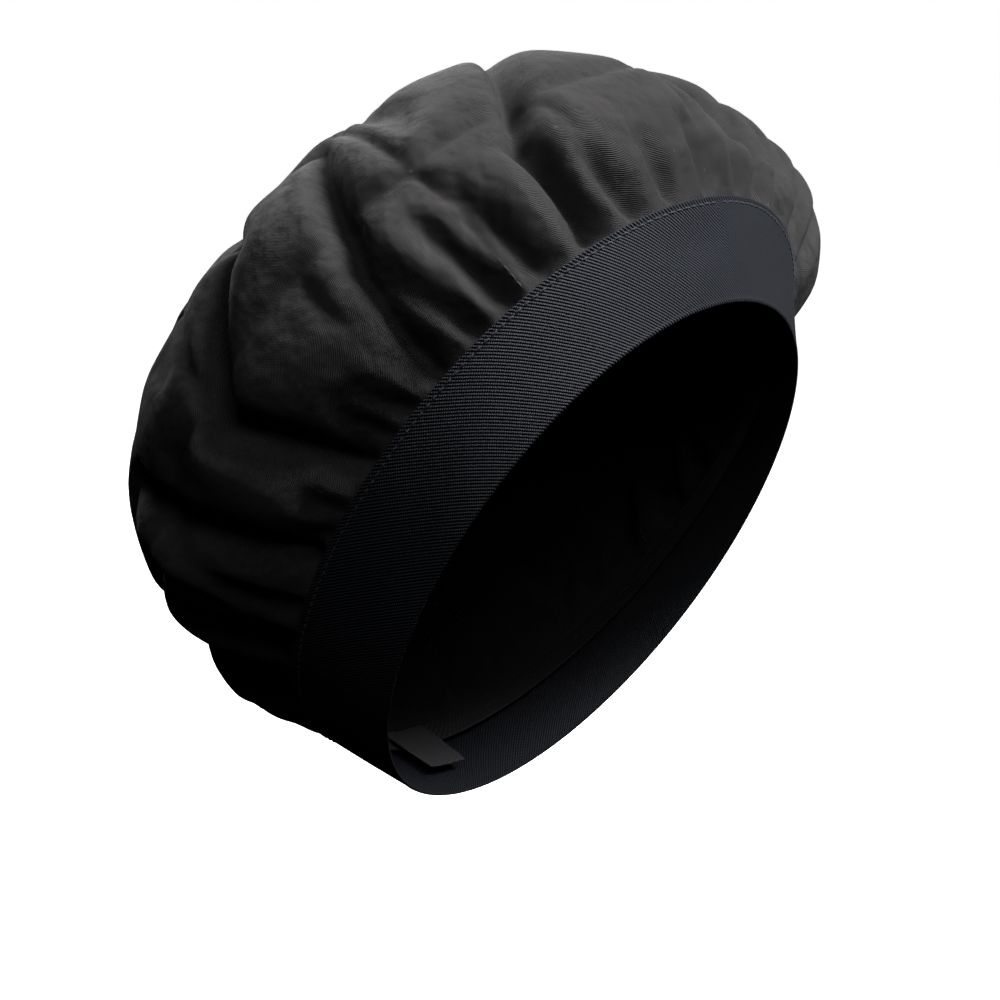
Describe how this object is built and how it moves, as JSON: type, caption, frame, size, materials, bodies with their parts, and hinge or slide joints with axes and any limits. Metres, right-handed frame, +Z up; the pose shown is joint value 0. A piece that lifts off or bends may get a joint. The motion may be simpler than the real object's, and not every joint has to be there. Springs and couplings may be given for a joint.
{
  "type": "thermal hair cap",
  "caption": "Gathered, quilted and seed-filled bonnet-shaped cap on a wide woven elastic band, worn over the hair from the forehead to the nape.",
  "frame": {"origin": "centre of the head opening, in the plane of the elastic band's lower edge", "axes": "+Z up on the wearer, the face looks along -Y, +X is the wearer's left; the opening's plane is tilted 57 degrees, front edge high"},
  "size_m": [0.2492, 0.196, 0.2423],
  "materials": {
    "crown_cotton": "matte",
    "lining_cotton": "matte",
    "elastic_webbing": "matte",
    "binding_tape": "matte",
    "label_satin": "satin",
    "quilting_thread": "matte",
    "band_thread": "matte",
    "seed_fill": "satin"
  },
  "bodies": {
    "root": {"band_join_stitching": "band_thread", "band_topstitch": "band_thread", "binding_stitch": "band_thread", "care_label": "label_satin", "elastic_band": "elastic_webbing", "lining": "lining_cotton", "outer_shell": "crown_cotton", "radial_quilting_inner": "quilting_thread", "radial_quilting_middle": "quilting_thread", "radial_quilting_outer": "quilting_thread", "ring_quilting_inner": "quilting_thread", "ring_quilting_middle": "quilting_thread", "ring_quilting_outer": "quilting_thread", "seam_binding": "binding_tape", "seed_fill_centre": "seed_fill", "seed_fill_inner_01": "seed_fill", "seed_fill_inner_02": "seed_fill", "seed_fill_inner_03": "seed_fill", "seed_fill_inner_04": "seed_fill", "seed_fill_inner_05": "seed_fill", "seed_fill_inner_06": "seed_fill", "seed_fill_inner_07": "seed_fill", "seed_fill_inner_08": "seed_fill", "seed_fill_middle_01": "seed_fill", "seed_fill_middle_02": "seed_fill", "seed_fill_middle_03": "seed_fill", "seed_fill_middle_04": "seed_fill", "seed_fill_middle_05": "seed_fill", "seed_fill_middle_06": "seed_fill", "seed_fill_middle_07": "seed_fill", "seed_fill_middle_08": "seed_fill", "seed_fill_outer_01": "seed_fill", "seed_fill_outer_02": "seed_fill", "seed_fill_outer_03": "seed_fill", "seed_fill_outer_04": "seed_fill", "seed_fill_outer_05": "seed_fill", "seed_fill_outer_06": "seed_fill", "seed_fill_outer_07": "seed_fill", "seed_fill_outer_08": "seed_fill", "seed_fill_outer_09": "seed_fill", "seed_fill_outer_10": "seed_fill", "seed_fill_outer_11": "seed_fill", "seed_fill_outer_12": "seed_fill", "seed_fill_outer_13": "seed_fill", "seed_fill_outer_14": "seed_fill", "seed_fill_outer_15": "seed_fill", "seed_fill_outer_16": "seed_fill"}
  },
  "joints": []
}
